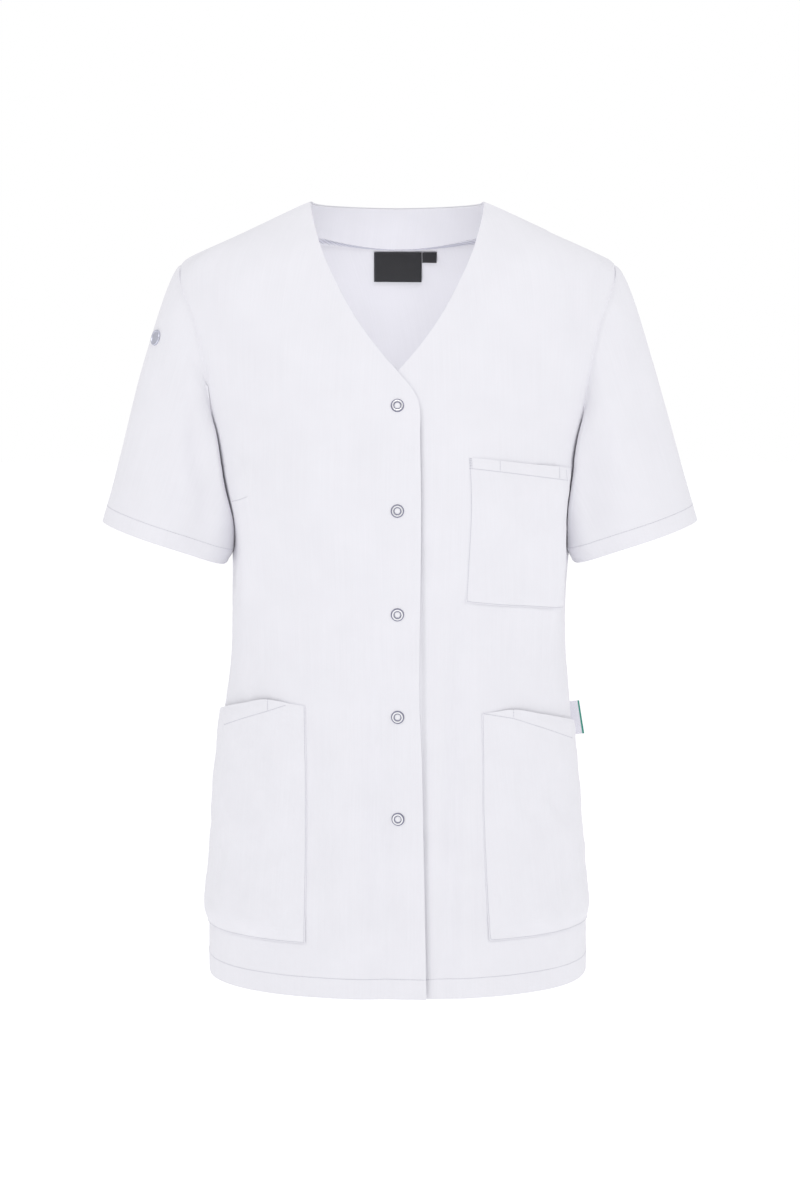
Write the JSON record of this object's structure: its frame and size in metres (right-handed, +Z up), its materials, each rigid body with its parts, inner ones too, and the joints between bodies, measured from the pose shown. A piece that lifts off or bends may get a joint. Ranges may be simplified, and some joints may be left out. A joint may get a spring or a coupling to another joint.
{
  "type": "work tunic",
  "caption": "Short-sleeved women's work tunic with a V neck, snap front, chest pocket and lower patch pockets, filled out as when worn.",
  "frame": {"origin": "on the centre plane, level with the middle of the shoulder seams, where the wearer's shoulders carry the tunic", "axes": "+Z up along the wearer's back, +X to the wearer's left, -Y out of the wearer's chest"},
  "size_m": [0.5548, 0.25, 0.7196],
  "materials": {
    "white_twill": "matt twill",
    "black_tape": "woven tape",
    "label_tape": "woven tape",
    "steel": "plated and polished"
  },
  "bodies": {
    "root": {"back": "white_twill", "back_neck_facing": "white_twill", "chest_pocket": "white_twill", "front_left": "white_twill", "front_right": "white_twill", "neck_label": "black_tape", "pocket_left": "white_twill", "pocket_right": "white_twill", "side_label": "label_tape", "size_tab": "black_tape", "sleeve_left": "white_twill", "sleeve_right": "white_twill", "sleeve_stud": "steel", "snap_back_1": "steel", "snap_back_2": "steel", "snap_back_3": "steel", "snap_back_4": "steel", "snap_back_5": "steel", "snap_cap_1": "steel", "snap_cap_2": "steel", "snap_cap_3": "steel", "snap_cap_4": "steel", "snap_cap_5": "steel"}
  },
  "joints": []
}
